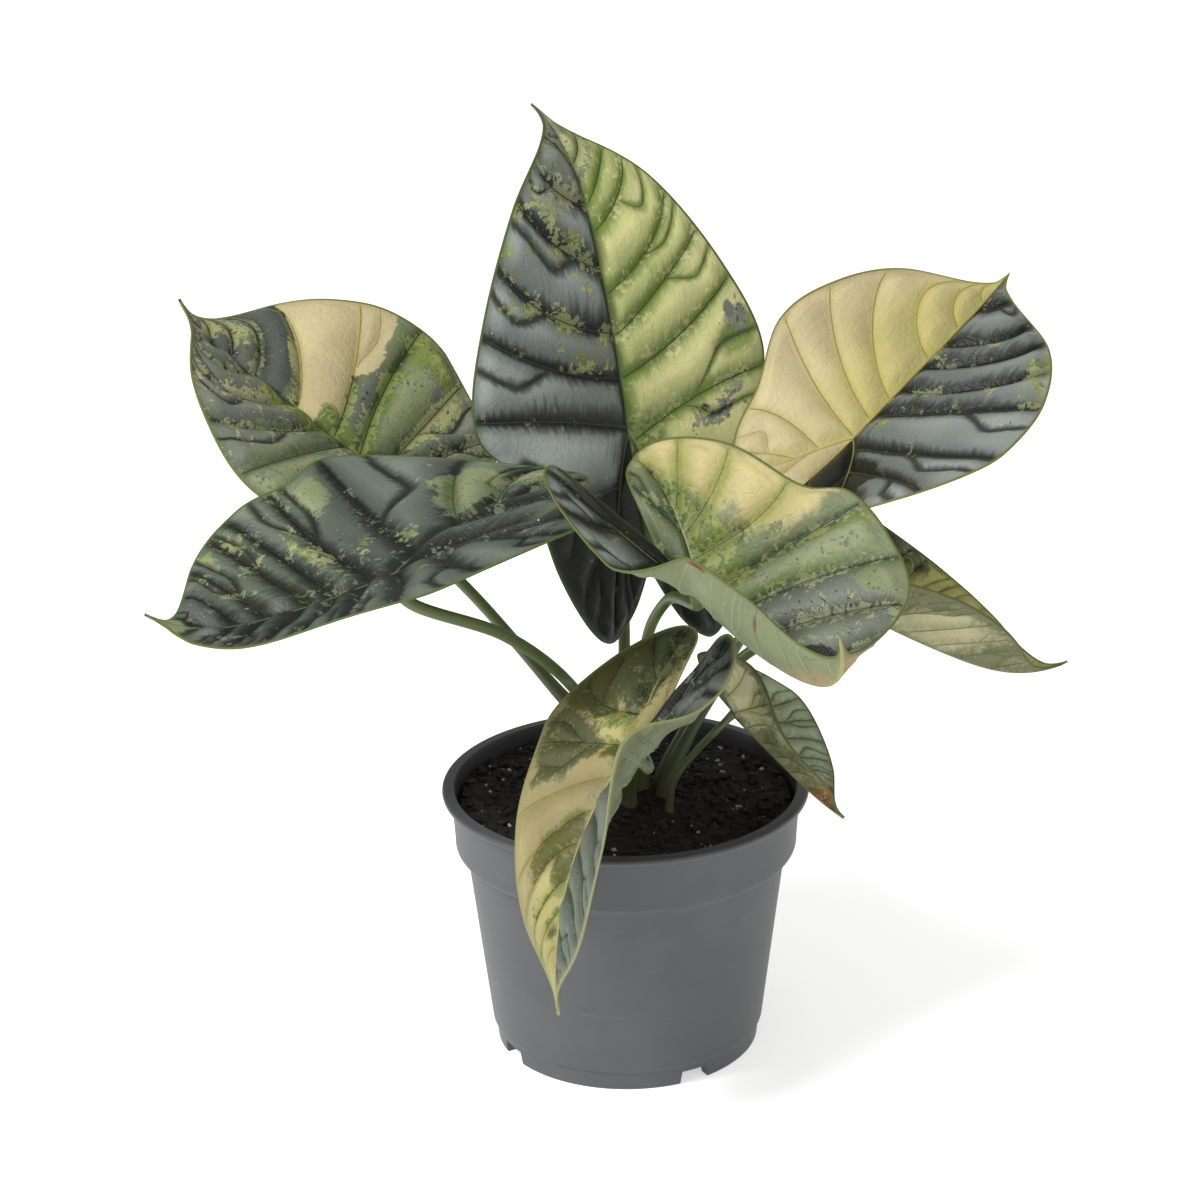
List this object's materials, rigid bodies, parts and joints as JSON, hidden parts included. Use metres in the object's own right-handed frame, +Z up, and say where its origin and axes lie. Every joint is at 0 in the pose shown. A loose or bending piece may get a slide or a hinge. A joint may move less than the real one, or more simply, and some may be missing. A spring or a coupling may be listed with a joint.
{
  "type": "potted alocasia",
  "caption": "Potted silver dragon alocasia: quilted, variegated silver and cream leaves on green stems, in a grey plastic nursery pot filled with soil.",
  "frame": {"origin": "bottom centre of the object's box, on the plane that the pot stands on", "axes": "+Z up along the pot's axis, +X to the viewer's right, -Y towards the viewer as pictured"},
  "size_m": [0.2866, 0.2278, 0.2919],
  "materials": {
    "pot": "satin grey moulded plastic",
    "soil": "matte moist bark and peat mix with perlite",
    "stem": "smooth satin plant tissue",
    "leaf_silver": "satin silver-grey leaf with dark green veins",
    "leaf_cream": "satin cream and silver variegated leaf with green veins"
  },
  "bodies": {
    "root": {"pot": "pot", "soil": "soil", "stem_centre": "stem", "leaf_centre": "leaf_silver", "stem_left_upper": "stem", "leaf_left_upper": "leaf_silver", "stem_left_lower": "stem", "leaf_left_lower": "leaf_silver", "stem_right_upper": "stem", "leaf_right_upper": "leaf_cream", "stem_front_right": "stem", "leaf_front_right": "leaf_cream", "stem_front_hanging": "stem", "leaf_front_hanging": "leaf_cream", "stem_small_right": "stem", "leaf_small_right": "leaf_cream", "stem_right_lower": "stem", "leaf_right_lower": "leaf_silver"}
  },
  "joints": []
}
